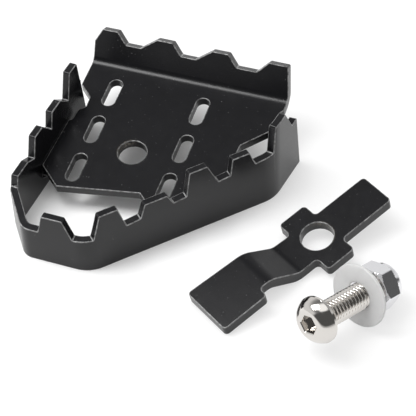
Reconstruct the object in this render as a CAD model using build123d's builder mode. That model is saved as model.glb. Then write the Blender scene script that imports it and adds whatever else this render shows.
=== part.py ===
from build123d import *

import os
from math import asin, atan, atan2, cos, degrees, hypot, radians, sin, tan

# Serrated brake pedal pad with its clamp strap, screw, washer and lock nut, laid out on level ground.
# Lengths are in millimetres and angles in degrees. The pieces are set out from the ground under the
# plate's mounting hole and then moved together, so that the origin is the hole's middle: +X runs
# along the plate's fold, +Y goes back to the toothed flange and +Z is up.

os.makedirs("parts", exist_ok=True)

# Plate: a flat sheet that rises to the back, with six drain slots and one mounting hole.
# Places on the plate are measured in its own slope, from the mounting hole's centre.
plate_t = 3.0
plate_slope = 8.0
hole_height = 11.46
hole_d = 9.0
slot_w = 4.2
slot_l = 10.9
slot_columns = 29.4
slot_pitch = 15.63
slot_rows = 3
slot_row_shift = 5.57
left_edge = -25.6
right_edge = 40.2
corner_r = 0.8

# Relief beside the back end of the left wall
relief_back = (left_edge, 22.0)
relief_inner = [(-21.0, 17.6), (-20.8, 13.4), (-22.6, 12.1), (-23.1, 7.6)]

# Where the plate runs into the band, half-way through the walls
seat_left_back = (-25.8, 6.3)
seat_left_front = (-26.7, -10.8)
seat_long_front = (16.4, -22.5)
seat_long_back = (30.3, -8.4)

# Free edges at the front and at the right
front_tip = (-18.0, -18.7)
front_step = (7.7, -14.3)
right_hip = (31.4, 11.6)
right_shoulder = (38.4, 19.2)
right_side = [(39.2, 27.0), (right_edge, 28.6)]

# Flange: folded up along the back of the plate, with four teeth
fold_line = 30.84
fold_angle = 60.0
fold_r = 3.0
flange_h = 9.4
flange_root_h = 5.6
flange_left_h = 5.1
flange_left_run = 2.4
flange_right_run = 1.2
tooth_pitch = 18.65
first_gap = 7.6
gap_steep = 3.1
gaps = [(5.1, 5.2), (5.1, 5.2), (6.6, 3.7)]  # length of the root, and run of the slope after it
tip_r = 0.6

# Band: one strip on edge, bent round the left, the front and the right of the plate.
# Its corners are where the outer faces of neighbouring walls would meet.
band_t = 2.4
band_corners = [(-25.7, 21.5), (-28.7, -28.0), (-19.5, -40.9), (1.7, -41.3), (44.5, 5.1), (47.2, 23.8)]
bend_r = [5.0, 5.0, 10.0, 12.0]
root_rise = 6.4
left_end = 18.4
right_end = 21.5
seat_gap = 0.05

# Teeth of each wall: root start, tip start, tip end and root end, along the wall from its first
# corner, and the height of the tip above the ground
left_teeth = [
    (4.2, 5.4, 10.4, 12.9, 28.3),
    (12.9, 18.0, 23.6, 25.0, 23.2),
    (25.0, 30.1, 35.1, 37.1, 22.8),
    (37.1, 41.1, 47.7, 48.8, 17.7),
]
front_teeth = [(5.4, 7.1, 13.7, 16.5, 19.0)]
long_teeth = [
    (2.3, 4.6, 10.7, 13.1, 21.3),
    (17.7, 19.3, 26.8, 28.7, 18.9),
    (33.0, 34.3, 40.3, 43.8, 24.4),
    (47.9, 48.7, 54.5, 56.5, 23.2),
]
end_teeth = [(0.3, 1.2, 7.5, 12.3, 28.6)]

# Weld beads under the plate: their middles, along the left and the long wall
weld_leg = 2.4
weld_l = 9.0
left_welds = [18.5, 30.0]
long_welds = [24.0, 38.0]

# Clamp strap: a cross-shaped blank with its wide end joggled up, lying on that end and on its bend.
# Its lengths are measured from the middle of its hole, and its wide end's sides from the narrow
# strip's edges.
strap_t = 3.5
strap_hole_d = 10.0
strap_at = (62.92, -11.84)
strap_yaw = 56.6
narrow_w = 12.5
narrow_l = 24.1
ear_w = 22.9
ear_back = 4.7
ear_front = 5.4
joggle = 6.9
joggle_start = 10.8
joggle_angle = 36.0
joggle_r = 4.0
wide_start = 25.9
wide_l = 16.0
wide_left = 1.75
wide_right = 3.35
strap_corner_r = 1.3

# Screw: a button head with a hexagon socket. It leans on the washer and on the nut, head up.
screw_at = (74.0, -48.2)
screw_yaw = 62.2
head_d = 14.0
head_h = 4.4
head_rim = 0.9
head_flat_d = 6.8
socket_af = 5.0
socket_depth = 2.7
socket_turn = 10.0
shank_d = 7.2
shank_l = 30.0
shank_tip = 0.6
thread_gap = 0.05

# Lock nut: a hexagon with a round collar, which holds the locking ring. Its lowest corner is
# turned a little from straight down.
nut_af = 13.0
nut_h = 8.0
nut_hex_h = 6.1
nut_collar_d = 11.8
nut_crimp_h = 1.1
nut_crimp_in = 0.9
nut_chamfer = 1.1
nut_chamfer_slope = 0.48
nut_at = 21.3
nut_turn = 18.0
ring_d = 10.2
ring_h = 1.8
ring_lip = 0.5
ring_lip_d = 8.8

# Washer: it stands on the ground and carries the screw
washer_d = 19.3
washer_bore = 8.2
washer_t = 1.0
washer_at = 16.8
washer_edge = 0.2


def plate_point(x, y, rise=0.0):
    """A place on the plate's slope, with its height above the top face."""
    return plate_top.from_local_coords((x, y, rise))


def slope_z(place, rise):
    """Height above the ground, at a place, of the plane that lies the given rise above the plate."""
    slope = radians(plate_slope)
    return hole_height + place.Y * tan(slope) + rise / cos(slope)


def wall_plane(index):
    """Outer face of a wall of the band: local x runs along the wall from its first corner, y is up."""
    start = Vector(*band_corners[index])
    along = (Vector(*band_corners[index + 1]) - start).normalized()
    return Plane(origin=start, x_dir=along, z_dir=(along.Y, -along.X, 0))


def aimed(yaw, pitch):
    """Unit vector at an angle round from +X and an angle above the ground."""
    a, b = radians(yaw), radians(pitch)
    return Vector(cos(a) * cos(b), sin(a) * cos(b), sin(b))


slope_up = aimed(90, plate_slope)
slope_normal = aimed(90, plate_slope + 90)
plate_top = Plane(origin=(0, 0, hole_height), x_dir=(1, 0, 0), z_dir=slope_normal)
left_wall, corner_wall, front_wall, long_wall, end_wall = (wall_plane(i) for i in range(5))
toothed_walls = [(left_wall, left_teeth), (front_wall, front_teeth), (long_wall, long_teeth), (end_wall, end_teeth)]

band_h = max(tooth[-1] for _, teeth in toothed_walls for tooth in teeth)

# Footprint of the band, and the room that the plate leaves for it
with BuildSketch() as band_foot:
    with BuildLine():
        FilletPolyline(*band_corners, radius=bend_r)
        offset(amount=band_t, side=Side.LEFT)
    make_face()

with BuildSketch() as band_room:
    offset(band_foot.sketch, amount=seat_gap, kind=Kind.INTERSECTION)
    with Locations((0, relief_inner[-1][1])):
        Rectangle(band_h * 3, band_h * 3, align=(Align.CENTER, Align.MAX), mode=Mode.INTERSECT)

# What the teeth leave of the strip: all that lies under the root plane, and one prism for each tooth
with BuildPart() as tooth_form:
    with BuildSketch(plate_top.offset(root_rise)):
        Rectangle(band_h * 4, band_h * 4)
    extrude(amount=-band_h)
    for wall, teeth in toothed_walls:
        for root_a, tip_a, tip_b, root_b, tip_z in teeth:
            z_a = slope_z(wall.from_local_coords((root_a, 0, 0)), root_rise)
            z_b = slope_z(wall.from_local_coords((root_b, 0, 0)), root_rise)
            with BuildSketch(wall) as tooth:
                with BuildLine():
                    Polyline(
                        (root_a, z_a - root_rise),
                        (root_a, z_a),
                        (tip_a, tip_z),
                        (tip_b, tip_z),
                        (root_b, z_b),
                        (root_b, z_b - root_rise),
                        close=True,
                    )
                make_face()
                fillet(tooth.vertices().group_by(Axis.Y)[-1], radius=tip_r)
            extrude(amount=2 * band_t, both=True)

# Serrated band, its ends cut square to the plate
with BuildPart() as serrated_band:
    extrude(band_foot.sketch, amount=band_h)
    add(tooth_form.part, mode=Mode.INTERSECT)
    for end, side in ((left_end, Align.MAX), (right_end, Align.MIN)):
        with BuildSketch(plate_top):
            with Locations((0, end)):
                Rectangle(band_h * 2, band_h, align=(side, Align.MIN))
        extrude(amount=band_h, both=True, mode=Mode.SUBTRACT)

# Plate with its slots and hole, bent up into the toothed flange
fold_plane = Plane(origin=plate_point(0, fold_line), x_dir=(1, 0, 0), z_dir=slope_up)
fold_axis = Axis(plate_point(0, fold_line, fold_r), (1, 0, 0))
flange_foot = (fold_line + fold_r * sin(radians(fold_angle)), fold_r * (1 - cos(radians(fold_angle))))
flange_face = Plane(
    origin=plate_point(0, *flange_foot), x_dir=(1, 0, 0), z_dir=aimed(90, plate_slope + fold_angle + 90)
)

with BuildPart() as pad_plate:
    with BuildSketch(plate_top):
        with BuildLine():
            FilletPolyline(
                (left_edge, fold_line),
                relief_back,
                *relief_inner,
                seat_left_back,
                seat_left_front,
                front_tip,
                front_step,
                seat_long_front,
                seat_long_back,
                right_hip,
                right_shoulder,
                *right_side,
                (right_edge, fold_line),
                radius=corner_r,
            )
            Line((right_edge, fold_line), (left_edge, fold_line))
        make_face()
        Circle(hole_d / 2, mode=Mode.SUBTRACT)
        with Locations((0, slot_row_shift)):
            with GridLocations(slot_columns, slot_pitch, 2, slot_rows):
                SlotOverall(slot_l, slot_w, rotation=90, mode=Mode.SUBTRACT)
    extrude(amount=-plate_t)
    extrude(band_room.sketch, amount=band_h, mode=Mode.SUBTRACT)
    with BuildSketch(fold_plane):
        with Locations(((left_edge + right_edge) / 2, plate_t / 2)):
            Rectangle(right_edge - left_edge, plate_t)
    revolve(axis=fold_axis, revolution_arc=fold_angle)
    with BuildSketch(flange_face) as flange:
        with BuildLine():
            Polyline(
                (left_edge, 0),
                (left_edge, flange_left_h),
                (left_edge + flange_left_run, flange_h),
                (right_edge - flange_right_run, flange_h),
                (right_edge, 0),
                close=True,
            )
        make_face()
        for k, (gap_root, gap_slope) in enumerate(gaps):
            gap_x = left_edge + first_gap + k * tooth_pitch
            with BuildLine():
                Polyline(
                    (gap_x, flange_h),
                    (gap_x + gap_steep, flange_root_h),
                    (gap_x + gap_steep + gap_root, flange_root_h),
                    (gap_x + gap_steep + gap_root + gap_slope, flange_h),
                    close=True,
                )
            make_face(mode=Mode.SUBTRACT)
        fillet(flange.vertices().group_by(Axis.Y)[-1], radius=tip_r)
    extrude(amount=-plate_t)

# Weld beads in the nooks under the plate
with BuildPart() as weld_beads:
    for wall, places in ((left_wall, left_welds), (long_wall, long_welds)):
        run = slope_normal.cross(wall.z_dir).normalized()
        inward = run.cross(slope_normal).normalized()
        if inward.dot(wall.z_dir) > 0:
            inward = -inward
        down = run.cross(wall.z_dir).normalized()
        if down.Z > 0:
            down = -down
        for place in places:
            foot = wall.from_local_coords((place, 0, -band_t))
            nook = Vector(foot.X, foot.Y, slope_z(foot, -plate_t))
            section = Plane(origin=nook, x_dir=inward, z_dir=run)
            drop = section.to_local_coords(nook + down * weld_leg)
            with BuildSketch(section):
                with BuildLine():
                    Polyline((0, 0), (weld_leg, 0), (drop.X, drop.Y), close=True)
                make_face()
            extrude(amount=weld_l / 2, both=True)

# Clamp strap, tilted until its wide end and its lower bend both touch the ground
tip_s, tip_n = -(wide_start + wide_l), joggle - strap_t
bend_s, bend_n = -joggle_start, joggle_r
lift_s, lift_n = bend_s - tip_s, bend_n - tip_n
strap_tilt = degrees(asin((joggle_r + strap_t) / hypot(lift_s, lift_n)) - atan2(lift_n, lift_s))
strap_z = -(tip_s * sin(radians(strap_tilt)) + tip_n * cos(radians(strap_tilt)))
strap_middle = Vector(*strap_at, strap_z)
strap_top = Plane(origin=strap_middle, x_dir=aimed(strap_yaw, strap_tilt), z_dir=aimed(strap_yaw, strap_tilt + 90))
strap_side = Plane(origin=strap_middle, x_dir=strap_top.x_dir, z_dir=-strap_top.y_dir)

low_corner = -(joggle_start + joggle_r * tan(radians(joggle_angle / 2)))
high_corner = low_corner - joggle / tan(radians(joggle_angle))

with BuildPart() as clamp_strap:
    with BuildSketch(strap_side):
        with BuildLine():
            FilletPolyline(
                (narrow_l, 0),
                (low_corner, 0),
                (high_corner, joggle),
                (tip_s, joggle),
                radius=[joggle_r, joggle_r + strap_t],
            )
            offset(amount=strap_t, side=Side.LEFT)
        make_face()
    extrude(amount=ear_w, both=True)
    with BuildSketch(strap_top) as blank:
        Rectangle(narrow_l, narrow_w, align=(Align.MIN, Align.CENTER))
        with Locations(((ear_back - ear_front) / 2, 0)):
            Rectangle(ear_back + ear_front, ear_w)
        with BuildLine():
            Polyline(
                (-ear_front, narrow_w / 2),
                (tip_s, narrow_w / 2 + wide_left),
                (tip_s, -narrow_w / 2 - wide_right),
                (-wide_start, -narrow_w / 2 - wide_right),
                (-wide_start, -narrow_w / 2),
                (-ear_front, -narrow_w / 2),
                close=True,
            )
        make_face()
        fillet(blank.vertices(), radius=strap_corner_r)
        Circle(strap_hole_d / 2, mode=Mode.SUBTRACT)
    extrude(amount=ear_w, both=True, mode=Mode.INTERSECT)

# Screw, tilted until the washer and the nut's lowest corner both touch the ground
nut_corner = nut_af / 2 / cos(radians(30))
nut_low = nut_corner * cos(radians(nut_turn))
chamfer_foot = nut_af / 2 - nut_chamfer / 4
chamfer_edge = nut_af / 2 + nut_chamfer
nut_low_at = nut_at + nut_hex_h - nut_chamfer_slope * (nut_corner - chamfer_foot)
washer_lift = (washer_bore - shank_d) / 2 - thread_gap
washer_low_at = washer_at + washer_t / 2
screw_drop = degrees(atan((washer_d / 2 - washer_lift - nut_low) / (nut_low_at - washer_low_at)))
screw_height = nut_low * cos(radians(screw_drop)) + nut_low_at * sin(radians(screw_drop))
screw_dir = aimed(screw_yaw, -screw_drop)
screw_seat = Plane(origin=(*screw_at, screw_height), x_dir=aimed(screw_yaw - 90, 0), z_dir=screw_dir)
screw_section = Plane(origin=screw_seat.origin, x_dir=screw_seat.x_dir, z_dir=-screw_seat.y_dir)

with BuildPart() as button_screw:
    with BuildSketch(screw_section):
        with BuildLine():
            Line((0, 0), (head_d / 2, 0))
            Line((head_d / 2, 0), (head_d / 2, -head_rim))
            dome_mid = ((head_d + head_flat_d) / 4 * 1.12, -(head_rim + head_h) / 2 * 1.12)
            ThreePointArc((head_d / 2, -head_rim), dome_mid, (head_flat_d / 2, -head_h))
            Line((head_flat_d / 2, -head_h), (0, -head_h))
            Line((0, -head_h), (0, 0))
        make_face()
    revolve(axis=Axis(screw_seat.origin, screw_dir))
    with BuildSketch(screw_seat.offset(-head_h)):
        RegularPolygon(socket_af / 2, 6, major_radius=False, rotation=socket_turn)
    extrude(amount=socket_depth, mode=Mode.SUBTRACT)
    with BuildSketch(screw_seat):
        Circle(shank_d / 2)
    extrude(amount=shank_l)
    chamfer(button_screw.faces().sort_by(Axis(screw_seat.origin, screw_dir))[-1].edges(), length=shank_tip)

# Lock nut with its bore, and with the groove for the locking ring inside its collar
nut_seat = screw_seat.offset(nut_at)
nut_section = Plane(origin=nut_seat.origin, x_dir=screw_seat.x_dir, z_dir=-screw_seat.y_dir)
ring_foot = nut_h - ring_lip - ring_h
chamfer_h = nut_chamfer_slope * (chamfer_edge - chamfer_foot)

with BuildPart() as lock_nut:
    with BuildSketch(nut_seat):
        RegularPolygon(nut_af / 2, 6, major_radius=False, rotation=90 + nut_turn)
    extrude(amount=nut_hex_h)
    with BuildSketch(nut_section):
        with BuildLine():
            Polyline(
                (0, 0),
                (chamfer_foot, 0),
                (chamfer_edge, chamfer_h),
                (chamfer_edge, nut_hex_h - chamfer_h),
                (chamfer_foot, nut_hex_h),
                (0, nut_hex_h),
                close=True,
            )
        make_face()
    revolve(axis=Axis(nut_seat.origin, screw_dir), mode=Mode.INTERSECT)
    with BuildSketch(nut_section) as collar:
        with Locations((0, nut_hex_h)):
            Rectangle(nut_collar_d / 2, nut_h - nut_hex_h, align=(Align.MIN, Align.MIN))
        crimp = collar.vertices().group_by(Axis.X)[-1].sort_by(Axis.Y)[-1]
        chamfer(crimp, length=nut_crimp_h, length2=nut_crimp_in)
    revolve(axis=Axis(nut_seat.origin, screw_dir))
    with BuildSketch(nut_seat):
        Circle(shank_d / 2 + thread_gap)
    extrude(amount=nut_h, mode=Mode.SUBTRACT)
    with BuildSketch(nut_seat.offset(ring_foot)):
        Circle(ring_d / 2)
    extrude(amount=ring_h, mode=Mode.SUBTRACT)
    with BuildSketch(nut_seat.offset(nut_h)):
        Circle(ring_lip_d / 2)
    extrude(amount=-ring_lip, mode=Mode.SUBTRACT)

with BuildPart() as locking_ring:
    with BuildSketch(nut_seat.offset(ring_foot)):
        Circle(ring_d / 2)
        Circle(shank_d / 2 + thread_gap, mode=Mode.SUBTRACT)
    extrude(amount=ring_h)

# Washer, square to the screw, which lies in its bore
washer_middle = screw_seat.from_local_coords((0, -washer_lift, washer_at - washer_t / 2))
washer_face = Plane(origin=washer_middle, x_dir=screw_seat.x_dir, z_dir=screw_dir)

with BuildPart() as washer:
    with BuildSketch(washer_face):
        Circle(washer_d / 2)
        Circle(washer_bore / 2, mode=Mode.SUBTRACT)
    extrude(amount=washer_t)
    chamfer(washer.edges().filter_by(GeomType.CIRCLE), length=washer_edge)

# Every piece is moved by the same amount, to put the origin in the middle of the mounting hole
hole_middle = plate_point(0, 0, -plate_t / 2)

for piece, name in (
    (pad_plate, "pad_plate"),
    (serrated_band, "serrated_band"),
    (weld_beads, "weld_beads"),
    (clamp_strap, "clamp_strap"),
    (button_screw, "button_screw"),
    (washer, "washer"),
    (lock_nut, "lock_nut"),
    (locking_ring, "locking_ring"),
):
    placed = piece.part.moved(Location(-hole_middle))
    placed.label = name
    export_step(placed, f"parts/{name}.step")
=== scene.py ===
from math import cos, pi, radians, sin, tau

import bmesh
import bpy
from bpy.props import FloatProperty, FloatVectorProperty, IntProperty, PointerProperty
from mathutils import Matrix, Vector


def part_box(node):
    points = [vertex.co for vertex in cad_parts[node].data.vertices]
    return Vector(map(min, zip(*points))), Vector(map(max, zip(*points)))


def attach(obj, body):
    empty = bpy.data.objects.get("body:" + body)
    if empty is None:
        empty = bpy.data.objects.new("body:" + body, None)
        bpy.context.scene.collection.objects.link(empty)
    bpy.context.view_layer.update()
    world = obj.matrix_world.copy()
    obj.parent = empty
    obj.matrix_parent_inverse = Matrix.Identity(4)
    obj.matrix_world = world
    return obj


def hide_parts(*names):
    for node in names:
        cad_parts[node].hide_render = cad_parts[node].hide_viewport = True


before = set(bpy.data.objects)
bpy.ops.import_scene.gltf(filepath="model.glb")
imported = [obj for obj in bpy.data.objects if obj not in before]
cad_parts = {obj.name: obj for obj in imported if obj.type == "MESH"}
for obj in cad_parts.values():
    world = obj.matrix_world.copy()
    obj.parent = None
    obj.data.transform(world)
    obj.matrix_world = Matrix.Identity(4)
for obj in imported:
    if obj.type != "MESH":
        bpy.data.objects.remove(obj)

bl_info = {
    "name": "Brake Pedal Pad",
    "version": (1, 0, 0),
    "blender": (4, 5, 0),
    "location": "View3D > Sidebar > Pedal Pad",
    "description": "Dresses a toothed brake pedal pad and its hardware in powder coat, plating and nylon",
    "category": "Object",
}

MM = 0.001
BODY = "root"

# Places in millimetres from the middle of the pad's mounting hole, and angles in degrees
PAD_HOLE_TOP = (0.0, 0.0, 1.5)
STRAP_HOLE_TOP = (62.92, -12.05, -3.9)
SCREW_SEAT = (74.0, -48.409, 2.69)
SCREW_YAW = 62.2
SCREW_RISE = -12.264
SOCKET_TURN = 10.0
NUT_AT = 21.3
NUT_TURN = 18.0

# Radii of the bolt holes, and the middle of each rubbed patch from the hole's own middle
PAD_HOLE_RADIUS = 4.5 * MM
PAD_RUB = (-4.5, 0.0, 0.0)
STRAP_HOLE_RADIUS = 5.0 * MM
STRAP_RUB = (3.2, 3.8, 1.0)

# Edges are rounded where their faces meet at a sharper angle than this, in degrees
EDGE_ANGLE = 30.0
EDGE_SEGMENTS = 3
WASHER_EDGE = 0.05 * MM
RING_EDGE = 0.14 * MM

# The floor's reach to each side, and the stretch in which it passes from under the pad to away from it, over
# which its painted light rises
FLOOR_REACH = 4.0
PAD_MIDDLE = (-4.0 * MM, -4.0 * MM)
PAD_FADE = (36 * MM, 62 * MM)

# The lamps' places, and their widths and depths, in metres
KEY_LAMP_AT = (-0.31, -0.1, 0.6)
KEY_LAMP_SIZE = (0.34, 0.46)
TOP_LAMP_AT = (0.0, 0.16, 0.6)
TOP_LAMP_SIZE = (0.5, 0.5)

# Heights in the surround, from 0 at the horizon to 1 overhead, between which one level fades into the next
CEILING_FADE = (0.35, 0.8)
ZENITH_FADE = (0.88, 0.97)
ROOM_FADE = (0.04, 0.16)

# The way to the dim room in front, and how far toward it a direction points where the room begins and is full
ROOM_WAY = (0.6, -0.8, -0.2)
ROOM_EDGE = (0.0, 0.15)


# Settings


class CoatSettings(bpy.types.PropertyGroup):
    """The black coat on the steel pieces."""

    colour: FloatVectorProperty(
        name="Colour", description="Colour of the coat", subtype="COLOR", size=3,
        default=(0.005, 0.005, 0.006)
    )
    roughness: FloatProperty(
        name="Roughness", description="How dull the coat is", subtype="FACTOR", min=0, max=1, default=0.25
    )
    reflection: FloatProperty(
        name="Reflection", description="Strength of the coat's reflection", subtype="FACTOR",
        min=0, max=1, default=0.37
    )
    edge_reflection: FloatProperty(
        name="Edge Reflection", description="Strength of the reflection on the edges, where the coat is thin",
        subtype="FACTOR", min=0, max=1, default=1.0
    )
    grain: FloatProperty(
        name="Grain", description="Size of the coat's fine texture", subtype="DISTANCE", default=0.28 * MM
    )
    grain_depth: FloatProperty(
        name="Grain Depth", description="Depth of the coat's fine texture", subtype="DISTANCE",
        default=0.018 * MM
    )
    edge: FloatProperty(
        name="Edge", description="How far the coat rounds an edge", subtype="DISTANCE", default=0.26 * MM
    )
    rub_colour: FloatVectorProperty(
        name="Rubbed Steel", description="Colour of the steel where the coat is rubbed off",
        subtype="COLOR", size=3, default=(0.13, 0.115, 0.09)
    )
    rub_reach: FloatProperty(
        name="Rub Reach", description="Width of the rubbed rim round a bolt hole", subtype="DISTANCE",
        default=0.6 * MM
    )


class PlatingSettings(bpy.types.PropertyGroup):
    """The bright plating on the screw."""

    colour: FloatVectorProperty(
        name="Colour", description="Colour of the plating", subtype="COLOR", size=3,
        default=(0.68, 0.655, 0.625)
    )
    roughness: FloatProperty(
        name="Roughness", description="How dull the plating is", subtype="FACTOR", min=0, max=1, default=0.07
    )


class NylonSettings(bpy.types.PropertyGroup):
    """The nylon of the washer and of the nut's locking ring."""

    colour: FloatVectorProperty(
        name="Colour", description="Colour of the nylon", subtype="COLOR", size=3, default=(0.97, 0.97, 0.96)
    )
    roughness: FloatProperty(
        name="Roughness", description="How dull the nylon is", subtype="FACTOR", min=0, max=1, default=0.4
    )
    clearness: FloatProperty(
        name="Clearness", description="Share of the light that passes straight through", subtype="FACTOR",
        min=0, max=1, default=0.3
    )
    depth: FloatProperty(
        name="Depth", description="How deep light goes into the nylon", subtype="DISTANCE", default=4.0 * MM
    )


class ScrewSettings(bpy.types.PropertyGroup):
    """The button-head screw and its thread."""

    head: FloatProperty(
        name="Head Diameter", description="Diameter of the head", subtype="DISTANCE", default=14.0 * MM
    )
    dome: FloatProperty(
        name="Head Height", description="Height of the head", subtype="DISTANCE", default=4.4 * MM
    )
    flat: FloatProperty(
        name="Head Flat", description="Diameter of the flat round the socket", subtype="DISTANCE",
        default=6.6 * MM
    )
    rim: FloatProperty(
        name="Rim Height", description="Height of the head's upright rim", subtype="DISTANCE",
        default=0.9 * MM
    )
    socket: FloatProperty(
        name="Socket", description="Size of the hexagon socket across its flats", subtype="DISTANCE",
        default=5.0 * MM
    )
    major: FloatProperty(
        name="Crest Diameter", description="Diameter over the thread's crests", subtype="DISTANCE",
        default=7.9 * MM
    )
    minor: FloatProperty(
        name="Root Diameter", description="Diameter at the thread's roots", subtype="DISTANCE",
        default=6.6 * MM
    )
    pitch: FloatProperty(
        name="Pitch", description="Distance from one crest to the next", subtype="DISTANCE",
        default=1.25 * MM
    )
    length: FloatProperty(
        name="Length", description="Length of the shank under the head", subtype="DISTANCE",
        default=30.0 * MM
    )
    sides: IntProperty(name="Sides", description="Points round the screw", default=96)
    steps: IntProperty(name="Steps", description="Points along each pitch of the thread", default=10)


class NutSettings(bpy.types.PropertyGroup):
    """The lock nut."""

    flats: FloatProperty(
        name="Across Flats", description="Size of the hexagon across its flats", subtype="DISTANCE",
        default=13.0 * MM
    )
    face: FloatProperty(
        name="Face Diameter", description="Diameter of the round face at each end of the hexagon",
        subtype="DISTANCE", default=12.7 * MM
    )
    hexagon_height: FloatProperty(
        name="Hexagon Height", description="Height of the hexagon", subtype="DISTANCE", default=5.4 * MM
    )
    height: FloatProperty(
        name="Height", description="Height of the nut with its collar", subtype="DISTANCE", default=8.0 * MM
    )
    collar: FloatProperty(
        name="Collar Diameter", description="Diameter of the round collar", subtype="DISTANCE",
        default=11.8 * MM
    )
    bore: FloatProperty(
        name="Bore", description="Diameter of the nut's bore", subtype="DISTANCE", default=7.3 * MM
    )
    sides: IntProperty(name="Sides", description="Points round the nut", default=192)


class StageSettings(bpy.types.PropertyGroup):
    """The floor, the lamps, the surround and the camera."""

    floor: FloatVectorProperty(
        name="Floor", description="Colour of the floor", subtype="COLOR", size=3, default=(0.92, 0.92, 0.92)
    )
    # Painted light: the floor's own glow, strong away from the pad to pale the shadows there, and weak under
    # the pad
    floor_lift: FloatProperty(
        name="Floor Lift", description="White that the floor shows of its own away from the pad", default=0.58
    )
    floor_shade: FloatProperty(
        name="Floor Shade", description="White that the floor shows of its own under the pad", default=0.05
    )
    key_light: FloatProperty(
        name="Key Light", description="Power of the lamp on the left", unit="POWER", default=3.7
    )
    top_light: FloatProperty(
        name="Top Light", description="Power of the soft lamp overhead", unit="POWER", default=0.6
    )
    backdrop: FloatProperty(name="Backdrop", description="Level of the pale backdrop", default=0.85)
    ceiling: FloatProperty(
        name="Ceiling", description="Level of the ceiling above the backdrop", default=0.22
    )
    zenith: FloatProperty(name="Zenith", description="Level of the ceiling right overhead", default=1.3)
    room: FloatProperty(name="Room", description="Level of the dim room in front", default=0.1)
    room_floor: FloatProperty(
        name="Room Floor", description="Level of the room low down in front", default=0.6
    )
    room_fill: FloatProperty(
        name="Room Fill", description="Soft light from the room in front", default=0.8
    )
    camera_at: FloatVectorProperty(
        name="Camera", description="Place of the camera", subtype="TRANSLATION", size=3,
        default=(0.1473, -0.32884, 0.34083)
    )
    azimuth: FloatProperty(
        name="Azimuth", description="Camera's turn about the upright axis", subtype="ANGLE",
        default=radians(20.52)
    )
    elevation: FloatProperty(
        name="Elevation", description="How far the camera looks down", subtype="ANGLE",
        default=radians(45.44)
    )
    roll: FloatProperty(
        name="Roll", description="Camera's turn about its own line of sight", subtype="ANGLE",
        default=radians(-2.0)
    )
    lens: FloatProperty(
        name="Lens", description="Focal length on a 36 mm sensor", unit="CAMERA", default=138.46
    )


# Material helpers


class NodeBuilder:
    """Adds nodes to the node tree of a material or of the surround, and links them."""

    def __init__(self, tree):
        self.nodes = tree.nodes
        self.links = tree.links

    def add(self, kind, **inputs):
        """A node of that kind, with its sockets set to values or linked to other sockets."""
        node = self.nodes.new(kind)
        for name, value in inputs.items():
            self.feed(node.inputs[name.replace("_", " ")], value)
        return node

    def feed(self, socket, value):
        """Sets a socket to a value, or links it where the value is another socket."""
        if isinstance(value, bpy.types.NodeSocket):
            self.links.new(value, socket)
        else:
            socket.default_value = value

    def ramp(self, value, low, high, out_low=0.0, out_high=1.0, smooth=False):
        """A value carried from one range to another, and held at its ends."""
        node = self.add("ShaderNodeMapRange", Value=value)
        node.interpolation_type = "SMOOTHSTEP" if smooth else "LINEAR"
        ends = {"From Min": low, "From Max": high, "To Min": out_low, "To Max": out_high}
        for name, number in ends.items():
            node.inputs[name].default_value = number
        return node.outputs["Result"]

    def math(self, operation, a, b):
        """Result of one step of arithmetic, held between 0 and 1."""
        node = self.nodes.new("ShaderNodeMath")
        node.operation = operation
        node.use_clamp = True
        self.feed(node.inputs[0], a)
        self.feed(node.inputs[1], b)
        return node.outputs[0]

    def vector_math(self, operation, a, b):
        """Number that one step of vector arithmetic gives."""
        node = self.nodes.new("ShaderNodeVectorMath")
        node.operation = operation
        self.feed(node.inputs[0], a)
        self.feed(node.inputs[1], b)
        return node.outputs["Value"]

    def mix(self, amount, a, b):
        """Number a where the amount is 0, and number b where it is 1."""
        node = self.nodes.new("ShaderNodeMix")
        for index, value in ((0, amount), (2, a), (3, b)):
            self.feed(node.inputs[index], value)
        return node.outputs[0]

    def blend(self, amount, a, b):
        """Colour a where the amount is 0, and colour b where it is 1."""
        node = self.nodes.new("ShaderNodeMix")
        node.data_type = "RGBA"
        for index, value in ((0, amount), (6, a), (7, b)):
            self.feed(node.inputs[index], value)
        return node.outputs[2]

    def light_path(self):
        """Outputs that tell which kind of ray is looking."""
        return self.nodes.new("ShaderNodeLightPath").outputs


class Shader(NodeBuilder):
    """A material being built, with its main surface node and the place on the object."""

    def __init__(self, name):
        self.material = bpy.data.materials.new(name)
        self.material.use_nodes = True
        super().__init__(self.material.node_tree)
        self.surface = self.nodes["Principled BSDF"]
        self.place = self.add("ShaderNodeTexCoord").outputs["Object"]

    def set_surface(self, **inputs):
        """Sets or links sockets of the main surface node."""
        for name, value in inputs.items():
            self.feed(self.surface.inputs[name.replace("_", " ")], value)

    def noise(self, size, detail=3.0, roughness=0.5):
        """Noise whose lumps are about that size, in metres."""
        node = self.add(
            "ShaderNodeTexNoise", Vector=self.place, Scale=1 / size, Detail=detail, Roughness=roughness
        )
        return node.outputs["Fac"]

    def distance(self, point):
        """Distance from a point."""
        return self.vector_math("DISTANCE", self.place, point)

    def bump(self, height, depth):
        """Feeds a height to the surface's normal, with the given depth in metres."""
        node = self.add("ShaderNodeBump", Height=height, Distance=depth)
        self.set_surface(Normal=node.outputs["Normal"])

    def seen(self):
        """1 where the camera, a mirror or a clear piece looks at the material, and 0 for other light."""
        path = self.light_path()
        mirrored = self.math("ADD", path["Is Glossy Ray"], path["Is Transmission Ray"])
        return self.math("ADD", path["Is Camera Ray"], mirrored)


def grey(level):
    """A neutral colour of that level."""
    return (level, level, level, 1)


def scaled(colour, factor=1.0):
    """A colour with every part times a factor, and with full cover."""
    return (*(part * factor for part in colour), 1)


def add_grain(shader, coat):
    """The fine orange-peel texture of the coat."""
    shader.bump(shader.noise(coat.grain, detail=2, roughness=0.6), coat.grain_depth)


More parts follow.
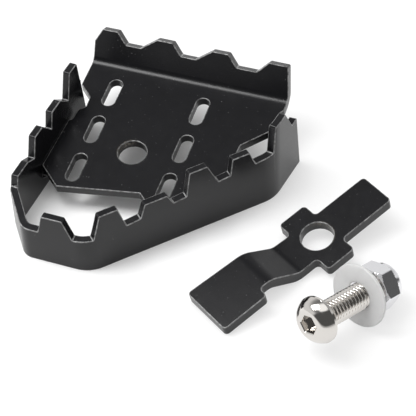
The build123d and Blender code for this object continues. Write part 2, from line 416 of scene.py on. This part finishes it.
def edge_highlight_material(coat, name):
    """The coat along the edges, smooth and a little lighter: the lighter colour, in patches, is a painted
    highlight.
    """
    shader = Shader(name)
    patchy = shader.ramp(shader.noise(1.1 * MM), low=0.35, high=0.65)
    shader.set_surface(
        # Painted highlight: the edges' colour is lightened in patches
        Base_Color=shader.blend(patchy, grey(0.05), grey(0.26)),
        Roughness=0.3,
        Specular_IOR_Level=coat.edge_reflection,
    )
    add_grain(shader, coat)
    return shader.material


def coat_material(coat, name, hole, hole_radius, rub):
    """Black powder coat, with a rim of rubbed steel on one side of a bolt hole."""
    shader = Shader(name)
    cloud = shader.ramp(shader.noise(9 * MM, detail=4), low=0.3, high=0.7, out_high=0.35)
    colour = shader.blend(cloud, scaled(coat.colour), scaled(coat.colour, 1.7))
    speck = shader.ramp(shader.noise(0.7 * MM, detail=2), low=0.72, high=0.78)
    colour = shader.blend(shader.math("MULTIPLY", speck, 0.35), colour, grey(0.3))
    rim = shader.ramp(shader.distance(hole), hole_radius, hole_radius + coat.rub_reach, 1, 0)
    side = shader.ramp(shader.distance(rub), hole_radius * 0.8, hole_radius * 1.5, 1, 0)
    patchy = shader.ramp(shader.noise(0.8 * MM), low=0.35, high=0.6)
    rubbed = shader.math("MULTIPLY", shader.math("MULTIPLY", rim, side), patchy)
    colour = shader.blend(rubbed, colour, scaled(coat.rub_colour))
    swing = 0.02
    mottle = shader.ramp(shader.noise(3 * MM), 0.3, 0.7, coat.roughness - swing, coat.roughness + swing)
    shader.set_surface(Base_Color=colour, Roughness=mottle, Specular_IOR_Level=coat.reflection)
    add_grain(shader, coat)
    return shader.material


def plating_material(plating):
    """Bright plating with smears and a faint unevenness."""
    shader = Shader("screw_plating")
    clean, smeared = plating.roughness * 0.6, plating.roughness * 1.8
    smear = shader.ramp(shader.noise(2.5 * MM, detail=4), 0.35, 0.7, clean, smeared)
    shader.set_surface(Base_Color=scaled(plating.colour), Metallic=1.0, Roughness=smear)
    shader.bump(shader.noise(1.5 * MM, detail=2), depth=0.008 * MM)
    return shader.material


def nylon_material(nylon, name):
    """Milky nylon that lets light through."""
    shader = Shader(name)
    cloud = shader.ramp(shader.noise(3 * MM), low=0.3, high=0.7)
    shader.set_surface(
        Base_Color=shader.blend(cloud, scaled(nylon.colour), scaled(nylon.colour, 0.95)),
        Roughness=nylon.roughness,
        Transmission_Weight=nylon.clearness,
        Subsurface_Weight=1.0,
        Subsurface_Radius=(1, 1, 1),
        Subsurface_Scale=nylon.depth,
    )
    shader.bump(shader.noise(0.4 * MM, detail=2), depth=0.006 * MM)
    return shader.material


# Piece helpers


def add_piece(name, mesh, material, slot, *nodes):
    """A piece of the pad with that mesh and material, standing for the named CAD nodes."""
    piece = bpy.data.objects.new(name, mesh)
    bpy.context.scene.collection.objects.link(piece)
    mesh.materials.clear()
    mesh.materials.append(material)
    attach(piece, BODY)
    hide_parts(*nodes)
    return piece


def flat_faced_mesh(node, name):
    """A copy of a CAD node's mesh, with the triangles of each flat face merged into one face."""
    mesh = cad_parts[node].data.copy()
    mesh.name = name
    work = bmesh.new()
    work.from_mesh(mesh)
    bmesh.ops.remove_doubles(work, verts=work.verts, dist=0.001 * MM)
    bmesh.ops.dissolve_limit(work, angle_limit=radians(0.4), verts=work.verts, edges=work.edges)
    work.to_mesh(mesh)
    work.free()
    if mesh.has_custom_normals:
        mesh.attributes.remove(mesh.attributes["custom_normal"])
    return mesh


def shade_smooth(mesh):
    """Shades every face of a mesh smooth."""
    mesh.polygons.foreach_set("use_smooth", [True] * len(mesh.polygons))


def ease_edges(piece, width):
    """Rounds a piece's edges, shades its faces smooth up to them, and returns the rounding."""
    shade_smooth(piece.data)
    bevel = piece.modifiers.new("eased_edges", "BEVEL")
    bevel.width = width
    bevel.segments = EDGE_SEGMENTS
    bevel.limit_method = "ANGLE"
    bevel.angle_limit = radians(EDGE_ANGLE)
    bevel.harden_normals = True
    bevel.miter_outer = "MITER_ARC"
    bevel.use_clamp_overlap = False
    return bevel


def dress_coated(node, coat, hole_top, hole_radius, rub):
    """A coated steel piece in place of its CAD node, with eased edges in a coat of their own, lightened as a
    painted highlight.
    """
    hole = Vector(hole_top) * MM
    material = coat_material(coat, node + "_coat", hole, hole_radius, hole + Vector(rub) * MM)
    name = node + "_coated"
    piece = add_piece(name, flat_faced_mesh(node, name), material, "powder_coat", node)
    # The second material, for the eased edges, carries the painted highlight
    piece.data.materials.append(edge_highlight_material(coat, node + "_edge_painted_highlight"))
    ease_edges(piece, coat.edge).material = 1


def dress_nylon(node, nylon, edge):
    """A nylon piece in place of its CAD node, with eased edges."""
    name = node + "_nylon"
    material = nylon_material(nylon, name)
    piece = add_piece(name, flat_faced_mesh(node, name), material, "natural_nylon", node)
    ease_edges(piece, edge)


def dress_plated(name, mesh, material, node, sharp):
    """A plated piece in place of its CAD node, smooth but for edges sharper than that many degrees."""
    add_piece(name, mesh, material, "bright_plating", node)
    shade_smooth(mesh)
    mesh.set_sharp_from_angle(angle=radians(sharp))


def screw_frame(along=0.0):
    """The screw's own frame at a distance along it: +Z runs from the head to the nut."""
    yaw, rise = radians(SCREW_YAW), radians(SCREW_RISE)
    forward = Vector((cos(yaw) * cos(rise), sin(yaw) * cos(rise), sin(rise)))
    side = Vector((sin(yaw), -cos(yaw), 0))
    turned = Matrix((side, forward.cross(side), forward)).transposed().to_4x4()
    return Matrix.Translation(Vector(SCREW_SEAT) * MM + forward * along) @ turned


def turned_mesh(name, stations, sides, place, closed=False):
    """A turned form: at each station along the axis, a ring whose radius depends on the angle.

    Each station is (distance, radius) or (distance, function of the angle). An open row of
    stations ends in a point at each end, and a closed one returns to its first ring.
    """
    work = bmesh.new()
    rings = []
    for distance, radius in stations:
        ring = []
        for k in range(sides):
            angle = k * tau / sides
            r = radius(angle) if callable(radius) else radius
            ring.append(work.verts.new((r * cos(angle), r * sin(angle), distance)))
        rings.append(ring)
    pairs = list(zip(rings, rings[1:]))
    if closed:
        pairs.append((rings[-1], rings[0]))
    for low, high in pairs:
        for k in range(sides):
            n = (k + 1) % sides
            work.faces.new((low[k], low[n], high[n], high[k]))
    if not closed:
        for ring, (distance, _), turn in ((rings[0], stations[0], -1), (rings[-1], stations[-1], 1)):
            tip = work.verts.new((0, 0, distance))
            for k in range(sides):
                corners = (ring[k], ring[(k + 1) % sides], tip)
                work.faces.new(corners[::turn])
    bmesh.ops.recalc_face_normals(work, faces=work.faces)
    work.transform(place)
    mesh = bpy.data.meshes.new(name)
    work.to_mesh(mesh)
    work.free()
    return mesh


def hexagon(across_flats, turn):
    """Radius of a hexagon of that size across its flats, turned that many degrees, at an angle."""

    def radius(angle):
        from_flat = (angle - radians(turn) + pi / 6) % (pi / 3) - pi / 6
        return across_flats / 2 / cos(from_flat)

    return radius


def head_stations(screw):
    """The button head, from the floor of its socket over the dome to its seat at distance 0."""
    socket = hexagon(screw.socket, SOCKET_TURN)
    head = screw.head / 2
    flat = screw.flat / 2
    mouth = 0.25 * MM
    stations = [(-1.6 * MM, 0.01 * MM), (-1.75 * MM, socket), (mouth - screw.dome, socket)]
    stations.append((-screw.dome, lambda angle: socket(angle) + mouth))
    span = radians(66)
    rings = 14
    crease = 0.06 * MM
    for k in range(rings + 1):
        angle = k / rings * span
        rise = (cos(angle) - cos(span)) / (1 - cos(span))
        reach = sin(angle) / sin(span)
        stations.append((-screw.rim - (screw.dome - screw.rim) * rise, flat + (head - crease - flat) * reach))
    stations.append((0.05 * MM - screw.rim, head))
    bevel = 0.12 * MM
    stations += [(-bevel, head), (0, head - bevel), (0, screw.major / 2)]
    return stations


def thread_stations(screw):
    """The threaded shank, from under the head to its bevelled end."""
    start = 0.02 * MM
    steps = int(screw.length / screw.pitch * screw.steps)
    stations = []
    for k in range(steps + 1):
        distance = start + k * (screw.length - start) / steps
        stations.append((distance, thread_radius(screw, distance)))
    stations.append((screw.length + 0.01 * MM, screw.minor / 2 - 0.4 * MM))
    return stations


def thread_radius(screw, distance):
    """Radius of the thread's surface round one ring, at a distance under the head."""
    run_out = min(1, max(0, (screw.length - distance) / (0.8 * MM)))

    def radius(angle):
        phase = (distance / screw.pitch - angle / tau) % 1
        height = max(0, min(1, 1.25 - abs(phase - 0.5) * 3.2))
        return (screw.minor + (screw.major - screw.minor) * height * run_out) / 2

    return radius


def nut_stations(nut):
    """The lock nut: its chamfered hexagon, its crimped collar, and its bore with the ring's groove."""
    body = hexagon(nut.flats, NUT_TURN)
    face = nut.face / 2
    collar = nut.collar / 2
    bore = nut.bore / 2
    chamfer_slope = 1.75

    def chamfered(distance):
        reach = face + min(distance, nut.hexagon_height - distance) * chamfer_slope
        return lambda angle: min(body(angle), reach)

    stations = [(0, bore + 0.5 * MM), (0, face - 0.2 * MM)]
    rings = 40
    for k in range(rings + 1):
        distance = nut.hexagon_height * k / rings
        stations.append((distance, chamfered(distance)))
    stations.append((nut.hexagon_height, collar))
    crimp = 1.2 * MM
    turns = 8
    for k in range(turns + 1):
        angle = k / turns * pi / 2
        stations.append((nut.height - crimp + crimp * sin(angle), collar - crimp + crimp * cos(angle)))
    lip = nut.height - 0.5 * MM
    groove_end = nut.height - 2.3 * MM
    groove = 5.1 * MM
    stations += [(nut.height, 4.5 * MM), (lip, 4.4 * MM), (lip, groove)]
    stations += [(groove_end, groove), (groove_end, bore), (0.5 * MM, bore)]
    return stations


# Operators


class PEDALPAD_OT_pad(bpy.types.Operator):
    """Dresses the plate, the toothed band and the weld beads"""

    bl_idname = "pedalpad.pad"
    bl_label = "Pad"

    def execute(self, context):
        for node in ("pad_plate", "serrated_band", "weld_beads"):
            dress_coated(node, context.scene.pedalpad_coat, PAD_HOLE_TOP, PAD_HOLE_RADIUS, PAD_RUB)
        return {"FINISHED"}


class PEDALPAD_OT_strap(bpy.types.Operator):
    """Dresses the clamp strap"""

    bl_idname = "pedalpad.strap"
    bl_label = "Clamp Strap"

    def execute(self, context):
        coat = context.scene.pedalpad_coat
        dress_coated("clamp_strap", coat, STRAP_HOLE_TOP, STRAP_HOLE_RADIUS, STRAP_RUB)
        return {"FINISHED"}


class PEDALPAD_OT_screw(bpy.types.Operator):
    """Turns the button-head screw with its socket and thread"""

    bl_idname = "pedalpad.screw"
    bl_label = "Screw"

    def execute(self, context):
        screw = context.scene.pedalpad_screw
        name = "button_screw_turned"
        stations = head_stations(screw) + thread_stations(screw)
        mesh = turned_mesh(name, stations, screw.sides, screw_frame())
        material = plating_material(context.scene.pedalpad_plating)
        dress_plated(name, mesh, material, "button_screw", sharp=22)
        return {"FINISHED"}


class PEDALPAD_OT_nut(bpy.types.Operator):
    """Shapes the lock nut, in the frame's own plating, and dresses its nylon locking ring"""

    bl_idname = "pedalpad.nut"
    bl_label = "Lock Nut"

    def execute(self, context):
        nut = context.scene.pedalpad_nut
        name = "lock_nut_formed"
        mesh = turned_mesh(name, nut_stations(nut), nut.sides, screw_frame(NUT_AT * MM), closed=True)
        frame_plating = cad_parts["lock_nut"].data.materials[0]
        dress_plated(name, mesh, frame_plating, "lock_nut", sharp=20)
        dress_nylon("locking_ring", context.scene.pedalpad_nylon, RING_EDGE)
        return {"FINISHED"}


class PEDALPAD_OT_washer(bpy.types.Operator):
    """Dresses the nylon washer"""

    bl_idname = "pedalpad.washer"
    bl_label = "Washer"

    def execute(self, context):
        dress_nylon("washer", context.scene.pedalpad_nylon, WASHER_EDGE)
        return {"FINISHED"}


class PEDALPAD_OT_stage(bpy.types.Operator):
    """Sets the floor, the lamps, the surround and the camera"""

    bl_idname = "pedalpad.stage"
    bl_label = "Stage"

    def execute(self, context):
        stage = context.scene.pedalpad_stage
        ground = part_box("serrated_band")[0][2]
        add_floor(stage, ground)
        add_lamp("key_lamp", stage.key_light, KEY_LAMP_AT, *KEY_LAMP_SIZE)
        top_lamp = add_lamp("top_lamp", stage.top_light, TOP_LAMP_AT, *TOP_LAMP_SIZE)
        top_lamp.visible_glossy = False
        top_lamp.visible_transmission = False
        add_surround(context.scene, stage)
        add_camera(context.scene, stage)
        context.scene.view_settings.view_transform = "Standard"
        return {"FINISHED"}


def add_floor(stage, ground):
    """A pale floor that keeps the shadows. Away from the pad it gives colour up for a glow of its own,
    painted light that pales the shadows there, while under the pad the glow is weak and the shade stays deep.
    """
    mesh = bpy.data.meshes.new("floor")
    work = bmesh.new()
    bmesh.ops.create_grid(work, x_segments=1, y_segments=1, size=FLOOR_REACH)
    work.transform(Matrix.Translation((0, 0, ground)))
    work.to_mesh(mesh)
    work.free()
    floor = bpy.data.objects.new("floor", mesh)
    bpy.context.scene.collection.objects.link(floor)
    shader = Shader("floor_paper")
    # Painted light: away from the pad the glow rises and the colour falls, so shadows there turn pale
    away = shader.ramp(shader.distance((*PAD_MIDDLE, ground)), *PAD_FADE)
    near = (*stage.floor, 1)
    far = (*(part - stage.floor_lift + stage.floor_shade for part in stage.floor), 1)
    lift = shader.ramp(away, 0, 1, stage.floor_shade, stage.floor_lift)
    shader.set_surface(
        Base_Color=shader.blend(away, near, far),
        Roughness=0.9,
        Specular_IOR_Level=0.0,
        Emission_Color=grey(1),
        Emission_Strength=shader.math("MULTIPLY", shader.seen(), lift),
    )
    mesh.materials.append(shader.material)


def add_lamp(name, power, place, width, depth):
    """A soft rectangular lamp that points at the middle of the pad, returned."""
    data = bpy.data.lights.new(name, "AREA")
    data.shape = "RECTANGLE"
    data.size = width
    data.size_y = depth
    data.energy = power
    lamp = bpy.data.objects.new(name, data)
    lamp.location = place
    lamp.rotation_euler = (-Vector(place)).to_track_quat("-Z", "Y").to_euler()
    bpy.context.scene.collection.objects.link(lamp)
    return lamp


def add_surround(scene, stage):
    """A pale room behind and above, and a dim one in front on the right. The camera sees it as white."""
    world = bpy.data.worlds.new("surround")
    world.use_nodes = True
    scene.world = world
    room = NodeBuilder(world.node_tree)
    way = room.nodes.new("ShaderNodeTexCoord").outputs["Generated"]
    height = room.add("ShaderNodeSeparateXYZ", Vector=way).outputs["Z"]
    path = room.light_path()
    pale = room.ramp(height, *CEILING_FADE, stage.backdrop, stage.ceiling, smooth=True)
    pale = room.mix(room.ramp(height, *ZENITH_FADE, smooth=True), pale, stage.zenith)
    dim = room.ramp(height, *ROOM_FADE, stage.room_floor, stage.room, smooth=True)
    dim = room.mix(path["Is Diffuse Ray"], dim, stage.room_fill)
    in_front = room.ramp(room.vector_math("DOT_PRODUCT", way, ROOM_WAY), *ROOM_EDGE, smooth=True)
    lit = room.mix(in_front, pale, dim)
    background = room.nodes["Background"]
    background.inputs["Color"].default_value = grey(1)
    room.feed(background.inputs["Strength"], room.mix(path["Is Camera Ray"], lit, 1.0))


def add_camera(scene, stage):
    """The camera, at the photograph's place and angle."""
    data = bpy.data.cameras.new("camera")
    data.sensor_width = 36
    data.lens = stage.lens
    data.clip_start = 0.01
    camera = bpy.data.objects.new("camera", data)
    turn = Matrix.Rotation(stage.azimuth, 4, "Z")
    tip = Matrix.Rotation(pi / 2 - stage.elevation, 4, "X")
    roll = Matrix.Rotation(stage.roll, 4, "Z")
    camera.matrix_world = Matrix.Translation(stage.camera_at) @ turn @ tip @ roll
    scene.collection.objects.link(camera)
    scene.camera = camera


class PEDALPAD_PT_panel(bpy.types.Panel):
    """Lists the pieces of the pedal pad and their settings"""

    bl_idname = "PEDALPAD_PT_panel"
    bl_label = "Pedal Pad"
    bl_space_type = "VIEW_3D"
    bl_region_type = "UI"
    bl_category = "Pedal Pad"

    def draw(self, context):
        for operator in OPERATORS:
            self.layout.operator(operator.bl_idname)
        for name, group in SETTINGS.items():
            box = self.layout.box()
            for field in group.__annotations__:
                box.prop(getattr(context.scene, name), field)


SETTINGS = {
    "pedalpad_coat": CoatSettings,
    "pedalpad_plating": PlatingSettings,
    "pedalpad_nylon": NylonSettings,
    "pedalpad_screw": ScrewSettings,
    "pedalpad_nut": NutSettings,
    "pedalpad_stage": StageSettings,
}
OPERATORS = (
    PEDALPAD_OT_pad,
    PEDALPAD_OT_strap,
    PEDALPAD_OT_screw,
    PEDALPAD_OT_nut,
    PEDALPAD_OT_washer,
    PEDALPAD_OT_stage,
)


def register():
    """Adds the settings, the operators and the panel."""
    for name, group in SETTINGS.items():
        bpy.utils.register_class(group)
        setattr(bpy.types.Scene, name, PointerProperty(type=group))
    for kind in (*OPERATORS, PEDALPAD_PT_panel):
        bpy.utils.register_class(kind)


def unregister():
    """Takes the settings, the operators and the panel away again."""
    for kind in (PEDALPAD_PT_panel, *reversed(OPERATORS)):
        bpy.utils.unregister_class(kind)
    for name, group in reversed(list(SETTINGS.items())):
        delattr(bpy.types.Scene, name)
        bpy.utils.unregister_class(group)


def main():
    """Dresses the part from start to end."""
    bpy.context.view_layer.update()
    register()
    bpy.ops.pedalpad.pad()
    bpy.ops.pedalpad.strap()
    bpy.ops.pedalpad.screw()
    bpy.ops.pedalpad.nut()
    bpy.ops.pedalpad.washer()
    bpy.ops.pedalpad.stage()


if __name__ == "__main__":
    main()
